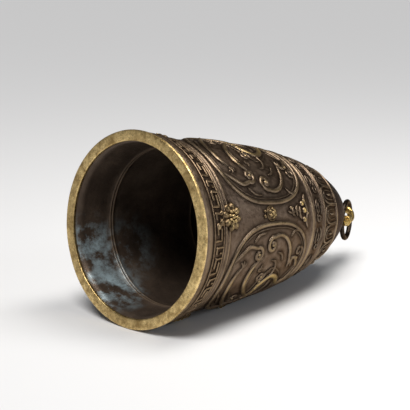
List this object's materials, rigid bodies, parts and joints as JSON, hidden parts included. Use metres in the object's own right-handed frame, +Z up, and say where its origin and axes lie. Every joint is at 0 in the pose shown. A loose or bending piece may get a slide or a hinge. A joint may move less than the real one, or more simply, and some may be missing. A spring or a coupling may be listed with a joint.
{
  "type": "bronze bell",
  "caption": "Round cast bronze bell with a domed crown, raised fret, dragon and petal ornament, a gilt lip, and a twisted crown loop that carries a loose hanging ring.",
  "frame": {"origin": "centre of the bounding box at the ground the bell lies on", "axes": "+X from the mouth towards the crown, +Z up, -Y towards the near side of the picture"},
  "size_m": [0.232, 0.1198, 0.1192],
  "materials": {
    "bronze_shell": "aged brown bronze with a grey-green bloom",
    "gilt_lip": "bright rubbed gilt with small casting pits",
    "fret_bronze": "warm brown bronze, worn on its edges",
    "relief_bronze": "aged bronze rubbed bright on its crests",
    "gilt_boss": "worn gilt over bronze",
    "crown_bronze": "dark brown bronze",
    "gilt_loop": "worn gilt",
    "ring_bronze": "near-black bronze"
  },
  "bodies": {
    "bell": {"bell_shell": "bronze_shell", "mouth_lip": "gilt_lip", "fret_band": "fret_bronze", "dragon_roundel_1": "relief_bronze", "dragon_roundel_2": "relief_bronze", "dragon_roundel_3": "relief_bronze", "dragon_roundel_4": "relief_bronze", "flower_boss_1": "gilt_boss", "flower_boss_2": "gilt_boss", "flower_boss_3": "gilt_boss", "flower_boss_4": "gilt_boss", "seam_boss_1": "gilt_boss", "seam_boss_2": "gilt_boss", "seam_boss_3": "gilt_boss", "seam_boss_4": "gilt_boss", "cloud_spray_1": "relief_bronze", "cloud_spray_2": "relief_bronze", "cloud_spray_3": "relief_bronze", "cloud_spray_4": "relief_bronze", "cloud_band": "crown_bronze", "lappet_band": "crown_bronze", "crown_loop": "gilt_loop"},
    "ring": {"hanging_ring": "ring_bronze"}
  },
  "joints": [
    {"name": "ring_swing", "type": "hinge", "parent": "bell", "child": "ring", "pos_m": [0.10231, 0, 0.03779], "axis": [0.4067, -0.9135, 0], "range_deg": [-45, 45]}
  ]
}
